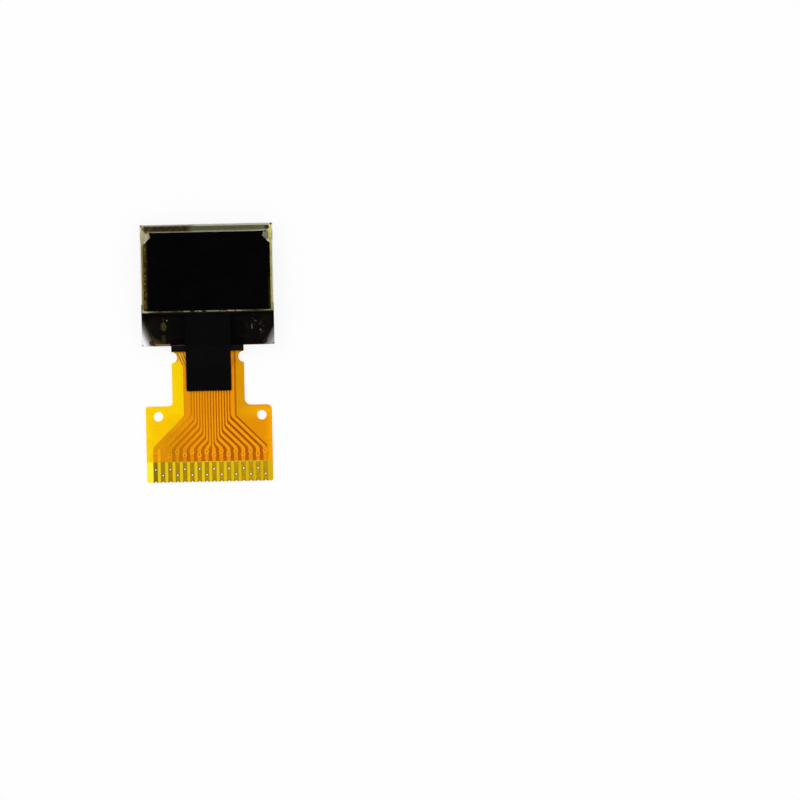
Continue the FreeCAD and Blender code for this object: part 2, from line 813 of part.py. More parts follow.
sheet = make_sheet()
parts = {**make_panel(), **make_tail()}
check(parts)
os.makedirs("parts", exist_ok=True)
for label, item in parts.items():
    item.Label = label
    item.Shape.exportStep(f"parts/{label}.step")
    print(f"{label}: {len(item.Shape.Solids)} solids, {item.Shape.Volume:.4f} mm3")
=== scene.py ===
# %% [markdown]
# # A small glass display panel with a solder tail
#
# The object is a 12 mm wide glass display that lies on its back. A thin amber tail leaves the glass, widens into two
# ears and ends in a row of plated pads. This lesson dresses its construction model: the shapes of the solids stay,
# and each one gets a finish that is worked out by nodes.

# %% Load the construction model
import bpy
import bmesh
import math
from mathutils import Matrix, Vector


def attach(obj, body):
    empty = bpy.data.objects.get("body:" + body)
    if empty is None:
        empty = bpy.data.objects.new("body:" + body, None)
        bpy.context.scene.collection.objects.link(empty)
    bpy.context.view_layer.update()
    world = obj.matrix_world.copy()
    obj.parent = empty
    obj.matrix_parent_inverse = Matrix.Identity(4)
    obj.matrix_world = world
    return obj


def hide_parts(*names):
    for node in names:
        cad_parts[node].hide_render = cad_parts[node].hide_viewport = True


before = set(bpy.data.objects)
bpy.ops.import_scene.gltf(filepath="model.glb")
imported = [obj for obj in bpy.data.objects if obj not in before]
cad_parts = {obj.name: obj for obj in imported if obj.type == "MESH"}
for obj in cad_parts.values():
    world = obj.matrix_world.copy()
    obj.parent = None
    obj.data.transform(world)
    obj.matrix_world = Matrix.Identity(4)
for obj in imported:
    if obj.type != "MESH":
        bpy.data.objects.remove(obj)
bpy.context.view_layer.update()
MM = 0.001

# %% [markdown]
# ## The camera
#
# A close picture of a flat object could be taken with any lens, but a short one would show the glass's sides. A long
# lens from well above keeps the outline true. The object stands a little left of and above the middle of the view,
# and the camera is rolled by about one degree, so the camera's place and roll carry that.

# %% Put the camera above the object
VIEW_WIDTH = 72.4 * MM
LENS = 298.0
SENSOR = 36.0
VIEW_CENTRE = (17.24 * MM, -12.31 * MM)
VIEW_ROLL = math.radians(-1.2047)
FACE_HEIGHT = 1.0 * MM
camera_data = bpy.data.cameras.new("long_lens")
camera_data.lens = LENS
camera_data.sensor_width = SENSOR
camera_data.clip_start = 0.01
camera_data.clip_end = 10.0
camera = bpy.data.objects.new("camera", camera_data)
bpy.context.scene.collection.objects.link(camera)
camera_height = VIEW_WIDTH * LENS / SENSOR + FACE_HEIGHT
camera.location = (VIEW_CENTRE[0], VIEW_CENTRE[1], camera_height)
camera.rotation_euler = (0.0, 0.0, VIEW_ROLL)
bpy.context.scene.camera = camera
bpy.context.scene.view_settings.view_transform = "Standard"
print("camera height in mm:", round(camera_height / MM, 1))

# %% [markdown]
# ## Wiring helpers
#
# Every finish here is a node tree. Writing each link by hand hides what the tree does, so three short helpers do the
# wiring: one makes a node with its values, one joins two sockets, and one turns a screen colour of 0 to 255 into the
# linear colour that shaders work with.

# %% Helpers for colours and nodes
def tone(red, green, blue):
    """A screen colour as the linear colour that a shader takes."""
    levels = [value / 255.0 for value in (red, green, blue)]
    linear = [v / 12.92 if v <= 0.04045 else ((v + 0.055) / 1.055) ** 2.4 for v in levels]
    return (linear[0], linear[1], linear[2], 1.0)


def add_node(tree, kind, values=(), **settings):
    """A node of a tree, with its settings and the values of its input sockets."""
    node = tree.nodes.new(kind)
    for name, setting in settings.items():
        setattr(node, name, setting)
    for name, number in dict(values).items():
        node.inputs[name].default_value = number
    return node


def feed(tree, source, target):
    """A link from an output socket to an input socket."""
    tree.links.new(source, target)


print("amber as linear colour:", [round(v, 3) for v in tone(235, 150, 0)[:3]])

# %% [markdown]
# ## A mask that follows a line
#
# Many tones of this object change along a straight direction: the tail is bright yellow on its left and amber on its
# right, and the ledge darkens towards the chip. A dot product of the place with a direction, stretched from 0 to 1
# between two distances, gives such a mask. It is a node group, because most of the materials use it.

# %% Node group: ramp along a direction
def make_group(name, inputs, outputs):
    """An empty node group with named sockets."""
    group = bpy.data.node_groups.new(name, "ShaderNodeTree")
    for label, kind, number in inputs:
        socket = group.interface.new_socket(name=label, in_out="INPUT", socket_type=kind)
        socket.default_value = number
    for label, kind in outputs:
        group.interface.new_socket(name=label, in_out="OUTPUT", socket_type=kind)
    entry = group.nodes.new("NodeGroupInput")
    leave = group.nodes.new("NodeGroupOutput")
    return group, entry, leave


ramp_group, entry, leave = make_group(
    "ramp_along",
    [
        ("Direction", "NodeSocketVector", (1.0, 0.0, 0.0)),
        ("Start mm", "NodeSocketFloat", 0.0),
        ("End mm", "NodeSocketFloat", 1.0),
    ],
    [("Mask", "NodeSocketFloat")],
)
place = add_node(ramp_group, "ShaderNodeTexCoord")
scaled = add_node(ramp_group, "ShaderNodeVectorMath", operation="SCALE")
scaled.inputs["Scale"].default_value = 1.0 / MM
along = add_node(ramp_group, "ShaderNodeVectorMath", operation="DOT_PRODUCT")
stretch = add_node(ramp_group, "ShaderNodeMapRange", interpolation_type="SMOOTHSTEP")
feed(ramp_group, place.outputs["Object"], scaled.inputs[0])
feed(ramp_group, scaled.outputs[0], along.inputs[0])
feed(ramp_group, entry.outputs["Direction"], along.inputs[1])
feed(ramp_group, along.outputs["Value"], stretch.inputs["Value"])
feed(ramp_group, entry.outputs["Start mm"], stretch.inputs["From Min"])
feed(ramp_group, entry.outputs["End mm"], stretch.inputs["From Max"])
feed(ramp_group, stretch.outputs["Result"], leave.inputs["Mask"])
print("group:", ramp_group.name)

# %% [markdown]
# ## Clouds, grain and specks
#
# Real film and resin are never one even tone. A noise texture in the object's own coordinates gives slow clouds at a
# scale of millimetres and fine grain at a scale of hundredths, and a Voronoi texture cut off close to its cell
# centres gives scattered specks. The object is measured in metres, so these scales are large numbers.

# %% Node groups: clouds and specks
cloud_group, entry, leave = make_group(
    "clouds",
    [
        ("Per mm", "NodeSocketFloat", 1.0),
        ("Detail", "NodeSocketFloat", 4.0),
        ("Low", "NodeSocketFloat", 0.35),
        ("High", "NodeSocketFloat", 0.65),
    ],
    [("Mask", "NodeSocketFloat"), ("Height", "NodeSocketFloat")],
)
place = add_node(cloud_group, "ShaderNodeTexCoord")
per_metre = add_node(cloud_group, "ShaderNodeMath", {1: 1.0 / MM}, operation="MULTIPLY")
noise = add_node(cloud_group, "ShaderNodeTexNoise", {"Roughness": 0.6})
spread = add_node(cloud_group, "ShaderNodeMapRange", interpolation_type="SMOOTHSTEP")
feed(cloud_group, place.outputs["Object"], noise.inputs["Vector"])
feed(cloud_group, entry.outputs["Per mm"], per_metre.inputs[0])
feed(cloud_group, per_metre.outputs[0], noise.inputs["Scale"])
feed(cloud_group, entry.outputs["Detail"], noise.inputs["Detail"])
feed(cloud_group, noise.outputs["Fac"], spread.inputs["Value"])
feed(cloud_group, entry.outputs["Low"], spread.inputs["From Min"])
feed(cloud_group, entry.outputs["High"], spread.inputs["From Max"])
feed(cloud_group, spread.outputs["Result"], leave.inputs["Mask"])
feed(cloud_group, noise.outputs["Fac"], leave.inputs["Height"])

speck_group, entry, leave = make_group(
    "specks",
    [("Per mm", "NodeSocketFloat", 1.0), ("Size", "NodeSocketFloat", 0.2), ("Share", "NodeSocketFloat", 0.3)],
    [("Mask", "NodeSocketFloat")],
)
place = add_node(speck_group, "ShaderNodeTexCoord")
per_metre = add_node(speck_group, "ShaderNodeMath", {1: 1.0 / MM}, operation="MULTIPLY")
cells = add_node(speck_group, "ShaderNodeTexVoronoi")
near = add_node(speck_group, "ShaderNodeMath", operation="LESS_THAN")
picked = add_node(speck_group, "ShaderNodeMath", operation="LESS_THAN")
both = add_node(speck_group, "ShaderNodeMath", operation="MULTIPLY")
split = add_node(speck_group, "ShaderNodeSeparateColor")
feed(speck_group, place.outputs["Object"], cells.inputs["Vector"])
feed(speck_group, entry.outputs["Per mm"], per_metre.inputs[0])
feed(speck_group, per_metre.outputs[0], cells.inputs["Scale"])
feed(speck_group, cells.outputs["Distance"], near.inputs[0])
feed(speck_group, entry.outputs["Size"], near.inputs[1])
feed(speck_group, cells.outputs["Color"], split.inputs["Color"])
feed(speck_group, split.outputs["Red"], picked.inputs[0])
feed(speck_group, entry.outputs["Share"], picked.inputs[1])
feed(speck_group, near.outputs[0], both.inputs[0])
feed(speck_group, picked.outputs[0], both.inputs[1])
feed(speck_group, both.outputs[0], leave.inputs["Mask"])
print("groups:", cloud_group.name, speck_group.name)

# %% [markdown]
# ## A finish and how it is put together
#
# Each finish starts from the same shader and builds its colour in layers, as a painter glazes: a ground colour, then
# one more colour wherever a mask says so. The small class keeps the last colour and adds a layer to it with one call,
# so each finish below reads as a list of what is seen. Places are in millimetres, with east to the right and north up
# when the object is seen from above.

# %% Finish builder
EAST, NORTH = (1.0, 0.0, 0.0), (0.0, 1.0, 0.0)
CLOUD_DETAIL = 4.0
RELIEF_DETAIL = 3.0


class Finish:
    """A material whose colour is built in layers over a ground colour."""

    def __init__(self, name, ground, **constants):
        self.material = bpy.data.materials.new(name)
        self.material.use_nodes = True
        self.tree = self.material.node_tree
        self.shader = self.tree.nodes["Principled BSDF"]
        for label, number in constants.items():
            self.shader.inputs[label.replace("_", " ")].default_value = number
        self.shader.inputs["Base Color"].default_value = ground
        self.ground = ground
        self.colour = None

    def ramp(self, direction, start, end):
        """A mask that grows from 0 to 1 between two distances along a direction."""
        sockets = {"Direction": direction, "Start mm": start, "End mm": end}
        return add_node(self.tree, "ShaderNodeGroup", sockets, node_tree=ramp_group).outputs["Mask"]

    def clouds(self, per_mm, low=0.35, high=0.65):
        """A mask of soft clouds, from the noise level where it starts to the one where it is full."""
        sockets = {"Per mm": per_mm, "Detail": CLOUD_DETAIL, "Low": low, "High": high}
        return add_node(self.tree, "ShaderNodeGroup", sockets, node_tree=cloud_group).outputs["Mask"]

    def specks(self, per_mm, size, share):
        """A mask of scattered specks, with their size and the share of cells that have one."""
        sockets = {"Per mm": per_mm, "Size": size, "Share": share}
        return add_node(self.tree, "ShaderNodeGroup", sockets, node_tree=speck_group).outputs["Mask"]

    def combine(self, operation, masks):
        """One mask from several masks or numbers, joined in their order."""
        joined = masks[0]
        for mask in masks[1:]:
            step = add_node(self.tree, "ShaderNodeMath", operation=operation)
            for socket, given in zip(step.inputs, (joined, mask)):
                if isinstance(given, (int, float)):
                    socket.default_value = given
                else:
                    feed(self.tree, given, socket)
            joined = step.outputs[0]
        return joined

    def both(self, *masks):
        """Bright where all the masks are bright. A number dims the rest."""
        return self.combine("MULTIPLY", masks)

    def either(self, *masks):
        """As bright as the brightest of the masks or numbers."""
        return self.combine("MAXIMUM", masks)

    def inverse(self, mask):
        """Bright where the mask is dark."""
        return self.combine("SUBTRACT", (1.0, mask))

    def before(self, direction, start, end):
        """A mask that falls from 1 to 0 between two distances along a direction."""
        return self.inverse(self.ramp(direction, start, end))

    def band(self, direction, start, end, soft=0.03):
        """A soft-edged stripe between two distances along a direction."""
        rising = self.ramp(direction, start - soft, start + soft)
        return self.both(rising, self.before(direction, end - soft, end + soft))

    def window(self, west, east, south, north, soft=0.08):
        """A soft-edged rectangle seen from above."""
        return self.both(self.band(EAST, west, east, soft), self.band(NORTH, south, north, soft))

    def disc(self, east, north, radius, soft=0.03):
        """A soft-edged round patch seen from above."""
        spot = add_node(self.tree, "ShaderNodeTexCoord")
        flat = add_node(self.tree, "ShaderNodeVectorMath", {1: (1.0 / MM, 1.0 / MM, 0.0)}, operation="MULTIPLY")
        away = add_node(self.tree, "ShaderNodeVectorMath", {1: (east, north, 0.0)}, operation="DISTANCE")
        ends = {"From Min": radius - soft, "From Max": radius + soft}
        edge = add_node(self.tree, "ShaderNodeMapRange", ends, interpolation_type="SMOOTHSTEP")
        feed(self.tree, spot.outputs["Object"], flat.inputs[0])
        feed(self.tree, flat.outputs[0], away.inputs[0])
        feed(self.tree, away.outputs["Value"], edge.inputs["Value"])
        return self.inverse(edge.outputs["Result"])

    def layer(self, colour, mask, strength=1.0):
        """One more colour over what is there, wherever the mask is bright."""
        mix = add_node(self.tree, "ShaderNodeMix", data_type="RGBA")
        mix.inputs["B"].default_value = colour
        if self.colour:
            feed(self.tree, self.colour, mix.inputs["A"])
        else:
            mix.inputs["A"].default_value = self.ground
        feed(self.tree, self.both(mask, strength), mix.inputs["Factor"])
        self.colour = mix.outputs["Result"]
        feed(self.tree, self.colour, self.shader.inputs["Base Color"])

    def painted_glow(self, colour, mask):
        """Painted glow, as emission, wherever the mask is bright."""
        mix = add_node(self.tree, "ShaderNodeMix", data_type="RGBA")
        mix.inputs["A"].default_value = tone(0, 0, 0)
        mix.inputs["B"].default_value = colour
        feed(self.tree, mask, mix.inputs["Factor"])
        feed(self.tree, mix.outputs["Result"], self.shader.inputs["Emission Color"])

    def vary(self, socket, mask, low, high):
        """A value of the shader that runs from low to high with a mask."""
        span = add_node(self.tree, "ShaderNodeMapRange", {"To Min": low, "To Max": high})
        feed(self.tree, mask, span.inputs["Value"])
        feed(self.tree, span.outputs["Result"], self.shader.inputs[socket])

    def bump(self, per_mm, height_mm):
        """Small relief from noise, with its height in millimetres."""
        sockets = {"Per mm": per_mm, "Detail": RELIEF_DETAIL}
        group = add_node(self.tree, "ShaderNodeGroup", sockets, node_tree=cloud_group)
        relief = add_node(self.tree, "ShaderNodeBump", {"Strength": 1.0, "Distance": height_mm * MM})
        feed(self.tree, group.outputs["Height"], relief.inputs["Height"])
        feed(self.tree, relief.outputs["Normal"], self.shader.inputs["Normal"])


def wear(piece, finish):
    """Gives a piece its finish in all of its material slots."""
    if not piece.material_slots:
        piece.data.materials.append(finish.material)
    for part_slot in piece.material_slots:
        part_slot.material = finish.material


def dress(node, finish):
    """Gives a construction node its finish."""
    wear(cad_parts[node], finish)


print("finish builder ready")

# %% [markdown]
# ## Clear pieces and the faces that touch them
#
# The glass and the cover films lie face to face on other solids. A renderer can't tell which of two faces in the same
# place comes first, and on a see-through piece that shows as dark grains. One cure would be to part the solids, but
# then the model has gaps. Here a see-through node is copied and the copy is drawn in by two thousandths of a
# millimetre, which nobody sees, and the copy stands for the node.

# %% Helper: a slightly slimmer copy of a node
DRAW_IN = 0.002 * MM
SAME_PLACE = 0.001 * MM
FLAT_WITHIN = math.radians(1)
SHARP_FROM = math.radians(40)


def slim_copy(node, name, chamfer=0.0):
    """A copy of a node that stays clear of what it lies on, with fine chamfers if wanted."""
    mesh = bmesh.new()
    mesh.from_mesh(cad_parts[node].data)
    bmesh.ops.remove_doubles(mesh, verts=mesh.verts, dist=SAME_PLACE)
    bmesh.ops.dissolve_limit(mesh, angle_limit=FLAT_WITHIN, verts=mesh.verts, edges=mesh.edges)
    mesh.normal_update()
    for corner in mesh.verts:
        corner.co -= corner.normal * DRAW_IN
    data = bpy.data.meshes.new(name)
    mesh.to_mesh(data)
    mesh.free()
    piece = bpy.data.objects.new(name, data)
    bpy.context.scene.collection.objects.link(piece)
    if chamfer:
        bevel = piece.modifiers.new("fine_chamfer", "BEVEL")
        bevel.width = chamfer * MM
        bevel.segments = 2
        bevel.limit_method = "ANGLE"
        bevel.angle_limit = SHARP_FROM
    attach(piece, "root")
    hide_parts(node)
    print(name, "faces:", len(data.polygons))
    return piece


# %% [markdown]
# ## Clear glass
#
# Both glass sheets are half a millimetre thick and clear. What gives them away is their edges, which are scribed and
# broken, so they look grey-green and a little frosted, and their fine chamfers. True refraction would be one way, but
# it lets little light through to the parts behind in few samples. A thin veil of alpha shows them better, and a mask
# of the side faces, which have no upward part in their normal, makes the edges denser.

# %% Glass finish with denser edges
CLEAR_VEIL = 0.05
SIDE_VEIL = 0.4
GLASS_CHAMFER = 0.03


def glass_finish(name):
    """Clear glass, with the mask of its side faces."""
    finish = Finish(name, tone(84, 84, 60), Roughness=0.05, IOR=1.52)
    facing = add_node(finish.tree, "ShaderNodeNewGeometry")
    parts = add_node(finish.tree, "ShaderNodeSeparateXYZ")
    feed(finish.tree, facing.outputs["True Normal"], parts.inputs[0])
    upright = finish.both(parts.outputs["Z"], parts.outputs["Z"])
    side = finish.inverse(upright)
    finish.layer(tone(96, 108, 84), side, 0.8)
    return finish, side


print("veil of clear glass:", CLEAR_VEIL, "and of its edges:", SIDE_VEIL)

# %% [markdown]
# ## The front glass
#
# The front glass reaches past the seal as a ledge. Its lower corners are clear, but darken towards the black resin
# behind the middle, where the resin shades the floor below. Lightening the resin there would leave its edge hard, so
# the glass itself gets a veil of painted shadow that fades outwards along a slanting direction at each corner. The
# round mark at the lower left stays in plain view, and a dark shade runs below the seal and creeps up the rims. A grey
# veil of painted shade along the top rim dims the floor seen through it.

# %% Smoke, shade and rim of the front glass
LEFT_OUT, RIGHT_OUT = (-0.905, -0.425, 0.0), (0.873, -0.488, 0.0)
DENSE_SHADE = 0.85
MARK_RADIUS = 0.22
MARK_NORTH = -6.67
pane_finish, pane_side = glass_finish("front_pane")


def corner_shadow(outward, half, fade, resin_end):
    """Painted shadow in one clear corner: none over the resin, dense beside it and fading outwards."""
    return pane_finish.both(pane_finish.before(outward, *fade), pane_finish.ramp(outward, *resin_end), half)


ledge = pane_finish.before(NORTH, -4.15, -4.0)
left_half = pane_finish.before(EAST, -0.1, 0.1)
left_shadow = corner_shadow(LEFT_OUT, left_half, (7.25, 8.2), (7.25, 7.38))
right_shadow = corner_shadow(RIGHT_OUT, pane_finish.inverse(left_half), (7.4, 9.3), (7.7, 7.85))
mark_corners = [corner.co.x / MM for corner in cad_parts["alignment_marks"].data.vertices]
round_mark = pane_finish.disc(min(mark_corners) + MARK_RADIUS, MARK_NORTH, MARK_RADIUS - 0.02)
corner_shadows = pane_finish.both(pane_finish.either(left_shadow, right_shadow), ledge, pane_finish.inverse(round_mark))
below_seal = pane_finish.window(-6.1, 6.1, -4.2, -3.98, 0.02)
left_creep = pane_finish.window(-6.1, -5.93, -4.8, -3.2, 0.05)
right_creep = pane_finish.window(5.95, 6.1, -5.4, -3.2, 0.05)
shade = pane_finish.either(left_creep, right_creep, below_seal)
# painted shade: a grey veil on the top rim dims the floor seen through it
top_rim_shade = pane_finish.ramp(NORTH, 3.88, 3.93)
pane_finish.layer(tone(132, 132, 104), top_rim_shade, 0.8)
pane_finish.layer(tone(14, 12, 7), ledge)
# painted shadow: the resin's shadow on the floor, seen through the clear corners
pane_finish.layer(tone(44, 44, 14), corner_shadows)
pane_finish.layer(tone(6, 4, 3), shade)
dense = pane_finish.both(pane_finish.either(corner_shadows, shade), DENSE_SHADE)
# frosted edges, and the painted shade of the top rim
frosted_and_shaded = pane_finish.either(pane_finish.both(pane_side, SIDE_VEIL), pane_finish.both(top_rim_shade, 0.3))
feed(pane_finish.tree, pane_finish.either(dense, frosted_and_shaded, CLEAR_VEIL), pane_finish.shader.inputs["Alpha"])
wear(slim_copy("front_glass", "front_glass_pane", GLASS_CHAMFER), pane_finish)

# %% [markdown]
# ## The rear glass
#
# Beside the polariser's cut corners the rear glass looks cream, paler on the left, where its etched rim scatters the
# light. That could be a sheet behind the glass, but no such piece exists, so it is a denser cream veil in two small
# windows. A dark line at the foot keeps light from shining through under the seal.

# %% Cream corners of the rear glass
cap_finish, cap_side = glass_finish("rear_pane")
west_top = cap_finish.window(-6.1, -4.9, 2.5, 3.34, 0.1)
east_top = cap_finish.window(4.9, 6.1, 2.5, 3.34, 0.1)
cream = cap_finish.either(west_top, east_top)
cap_finish.layer(tone(206, 190, 124), cream)
cap_finish.layer(tone(136, 124, 76), east_top)
cap_finish.layer(tone(255, 240, 196), cap_finish.window(-5.72, -5.32, 2.45, 3.25, 0.1), 0.95)
foot_shade = cap_finish.window(-5.6, 5.6, -4.1, -3.74, 0.02)
cap_finish.layer(tone(8, 6, 5), foot_shade)
milky = cap_finish.either(cap_finish.both(cap_side, SIDE_VEIL), cap_finish.both(cream, 0.66))
feed(cap_finish.tree, cap_finish.either(milky, foot_shade, CLEAR_VEIL), cap_finish.shader.inputs["Alpha"])
wear(slim_copy("cap_glass", "cap_glass_pane", GLASS_CHAMFER), cap_finish)

# %% [markdown]
# ## The seal's sides and foot
#
# The seal is a pressed line of cream adhesive. It is thick where the line was slow and thin where it was fast, so its
# foot shows bright dashes with gaps, while the sides are an even cream yellow. Dashes set one by one would look
# regular, so clouds cut off sharply give them. The middle dashes, the thick corner and the right side carry a painted
# glow, an emission that stands in for light passing through the adhesive.

# %% Seal: sides and foot
# the emission strength sets how strong the seal's painted glow is
seal_finish = Finish(
    "seal_adhesive", tone(200, 176, 88), Roughness=0.5, Specular_IOR_Level=0.2, Emission_Strength=0.3
)
seal_finish.layer(tone(255, 248, 140), seal_finish.ramp(EAST, 0.0, 4.0), 0.95)
seal_finish.layer(tone(150, 130, 66), seal_finish.clouds(1.4, 0.45, 0.7), 0.4)
seal_finish.layer(tone(240, 226, 188), seal_finish.window(-6.2, -5.5, 2.2, 3.5, 0.3), 0.85)
seal_finish.layer(tone(14, 11, 8), seal_finish.before(NORTH, -3.84, -3.8))
bright_foot = seal_finish.band(NORTH, -3.93, -3.83, 0.012)
dashes = seal_finish.both(seal_finish.clouds(2.4, 0.46, 0.5), bright_foot)
middle_dashes = seal_finish.both(dashes, seal_finish.window(-2.2, 3.0, -4.1, -3.7, 0.6))
seal_finish.layer(tone(124, 110, 62), dashes, 0.9)
seal_finish.layer(tone(255, 252, 236), middle_dashes)
thick_end = seal_finish.window(-6.0, -5.4, -3.98, -3.7, 0.1)
seal_finish.layer(tone(245, 236, 176), thick_end, 0.9)
right_side = seal_finish.both(seal_finish.band(EAST, 5.6, 6.2), seal_finish.band(NORTH, -3.8, 3.3))
dim_painted_glow = seal_finish.either(seal_finish.both(thick_end, 0.5), seal_finish.both(right_side, 0.2))
# painted glow: emission in the middle dashes, the thick corner and the right side
seal_finish.painted_glow(tone(255, 246, 205), seal_finish.either(middle_dashes, dim_painted_glow))
ends = seal_finish.inverse(seal_finish.window(-5.0, 5.2, -4.1, -3.7, 0.3))
seal_finish.layer(tone(226, 220, 160), seal_finish.both(bright_foot, ends), 0.9)
print("seal's sides and foot mixed")

# %% [markdown]
# ## The seal's top
#
# Along the top the seal lies under coated glass: grey-green on the right, dark olive brown on the left, where the lead
# lines cross it, with a pale line above and below. A straight step in tone would look painted, so the change from left
# to right is a ramp and the brown has clouds in it.

# %% Seal: top
above = seal_finish.ramp(NORTH, 3.3, 3.36)
top = seal_finish.both(above, seal_finish.window(-5.62, 5.6, 3.0, 4.2, 0.05))
seal_finish.layer(tone(112, 113, 78), top)
top_left = seal_finish.both(top, seal_finish.before(EAST, -1.9, -1.2))
seal_finish.layer(tone(40, 28, 2), top_left, 0.97)
seal_finish.layer(tone(94, 70, 6), seal_finish.both(top_left, seal_finish.clouds(2.6, 0.44, 0.6)), 0.8)
rim = seal_finish.band(NORTH, 3.84, 3.96, 0.02)
seal_finish.layer(tone(196, 198, 176), rim, 0.45)
seal_finish.layer(tone(232, 234, 214), seal_finish.both(rim, seal_finish.ramp(EAST, -1.4, -0.8)))
lower_rim = seal_finish.both(seal_finish.band(NORTH, 3.28, 3.42, 0.02), top)
seal_finish.layer(tone(150, 136, 60), lower_rim, 0.8)
seal_finish.layer(tone(190, 192, 172), seal_finish.both(lower_rim, seal_finish.ramp(EAST, -1.6, -1.0)), 0.9)
seal_finish.layer(tone(250, 246, 220), seal_finish.specks(5.0, 0.18, 0.15), 0.25)
seal_finish.bump(30.0, 0.004)
dress("seal_frame", seal_finish)
print("seal dressed")

# %% [markdown]
# ## Polariser
#
# The polariser is a stretched film, nearly black with a slight blue, glossy but not mirror-like. Its left rim shows a
# narrow band of olive specks where the lead lines behind it end, and its right rim a faint yellow. One roughness for
# the whole film would look like plastic, so slow clouds vary it. The adhesive under it is a thin pale line at the rim.

# %% Polariser finish
polariser_finish = Finish("polariser_film", tone(1, 1, 2), Roughness=0.14, Specular_IOR_Level=0.35)
polariser_finish.layer(tone(5, 3, 5), polariser_finish.clouds(0.4, 0.4, 0.7), 0.5)
left_height = polariser_finish.band(NORTH, -3.75, 2.9, 0.1)
left_rim = polariser_finish.both(polariser_finish.before(EAST, -5.72, -5.3), left_height)
polariser_finish.layer(tone(66, 50, 10), left_rim, 0.8)
polariser_finish.layer(tone(104, 86, 30), polariser_finish.both(left_rim, polariser_finish.clouds(3.0, 0.42, 0.6)), 0.6)
bits = polariser_finish.both(polariser_finish.band(EAST, -5.62, -5.5), polariser_finish.specks(6.0, 0.3, 0.34))
polariser_finish.layer(tone(176, 168, 128), bits, 0.8)
right_height = polariser_finish.band(NORTH, -3.8, -1.0, 0.6)
right_rim = polariser_finish.both(polariser_finish.ramp(EAST, 5.45, 5.8), right_height)
polariser_finish.layer(tone(70, 60, 8), right_rim, 0.5)
polariser_finish.vary("Roughness", polariser_finish.clouds(2.0, 0.3, 0.7), 0.1, 0.2)
polariser_finish.bump(60.0, 0.0004)
dress("polariser", polariser_finish)
adhesive_finish = Finish("clear_adhesive", tone(210, 205, 170), Roughness=0.3)
adhesive_finish.layer(tone(170, 165, 130), adhesive_finish.clouds(4.0))
dress("polariser_adhesive", adhesive_finish)
print("polariser dressed")

# %% [markdown]
# ## What lies between and behind the glasses
#
# The light-emitting film, its silvery electrode and the white drying patch are hidden by the polariser from the front,
# and show through the rear glass. Each still gets its own finish: brushed silver for the electrode, chalky white for
# the patch, and a dark violet sheen for the film.

# %% Inner layers
cathode_finish = Finish("cathode_metal", tone(190, 192, 196), Metallic=1.0, Roughness=0.3)
cathode_finish.layer(tone(150, 152, 160), cathode_finish.clouds(1.2))
cathode_finish.bump(50.0, 0.0005)
dress("cathode_sheet", cathode_finish)
emitting_finish = Finish("emitting_layer", tone(40, 30, 52), Roughness=0.2)
emitting_finish.layer(tone(60, 50, 40), emitting_finish.clouds(0.8))
dress("emitting_film", emitting_finish)
patch_finish = Finish("drying_patch", tone(236, 234, 226), Roughness=0.9)
patch_finish.layer(tone(205, 202, 190), patch_finish.clouds(3.0))
patch_finish.bump(25.0, 0.02)
dress("desiccant_patch", patch_finish)
print("inner layers dressed")

# %% [markdown]
# ## Marks, chip and bond films on the ledge
#
# The marks are thin metal on the glass: a brown disc, an olive hexagon and bar on the left, and a nearly black disc on
# the right. They share one node, so windows give each its tone. The chip and the bond films lie behind resin and only
# need a plain dark finish.

# %% Marks, chip and bond films
mark_finish = Finish("mark_metal", tone(92, 70, 16), Roughness=0.5, Specular_IOR_Level=0.1)
mark_finish.layer(tone(70, 68, 18), mark_finish.window(-4.4, -3.6, -7.0, -4.6))
mark_finish.layer(tone(44, 40, 14), mark_finish.window(-4.4, -3.6, -7.0, -5.9))
mark_finish.layer(tone(34, 24, 6), mark_finish.clouds(5.0, 0.42, 0.62), 0.65)
mark_finish.layer(tone(20, 12, 6), mark_finish.ramp(EAST, 0.0, 1.0), 0.8)
dress("alignment_marks", mark_finish)
silicon_finish = Finish("silicon", tone(70, 72, 80), Metallic=0.5, Roughness=0.25)
silicon_finish.layer(tone(50, 52, 62), silicon_finish.clouds(2.0))
dress("driver_chip", silicon_finish)
bond_finish = Finish("bond_film", tone(3, 2, 2), Roughness=0.5, Specular_IOR_Level=0.05)
bond_finish.layer(tone(12, 10, 8), bond_finish.specks(30.0, 0.3, 0.5), 0.4)
dress("chip_bond_film", bond_finish)
dress("flex_bond_film", bond_finish)
print("ledge pieces dressed")

# %% [markdown]
# ## Black resin
#
# The resin behind the ledge is black in the middle and turns smoky brown outwards, where it is thinner, and olive in
# the lower left corner with a pale gleam along the glass's edge. Under the glass it shows faint scuffs. One noise over
# all of it would look like marble, so each tone is held to the place where it is seen.

# %% Resin finish
SOUTH_WEST = (-0.588, -0.809, 0.0)
resin_finish = Finish("black_resin", tone(2, 1, 1), Roughness=0.55, Specular_IOR_Level=0.08)
outward = resin_finish.either(resin_finish.before(EAST, -5.4, -3.9), resin_finish.ramp(EAST, 3.9, 5.6))
resin_finish.layer(tone(26, 16, 11), resin_finish.both(outward, resin_finish.clouds(1.0, 0.3, 0.7)), 0.8)
olive = resin_finish.both(resin_finish.ramp(SOUTH_WEST, 7.75, 8.1), resin_finish.before(EAST, -3.7, -3.45))
resin_finish.layer(tone(72, 60, 36), olive, 0.9)
pale = resin_finish.both(resin_finish.ramp(SOUTH_WEST, 8.15, 8.5), olive)
resin_finish.layer(tone(166, 162, 138), pale, 0.9)
resin_finish.layer(tone(156, 136, 98), resin_finish.window(-5.1, -3.45, -7.2, -6.82, 0.05), 0.85)
left_thin = resin_finish.both(resin_finish.ramp(LEFT_OUT, 7.0, 7.4), outward)
right_thin = resin_finish.both(resin_finish.ramp(RIGHT_OUT, 7.6, 7.85), outward)
resin_finish.layer(tone(60, 56, 44), resin_finish.either(left_thin, right_thin), 0.7)
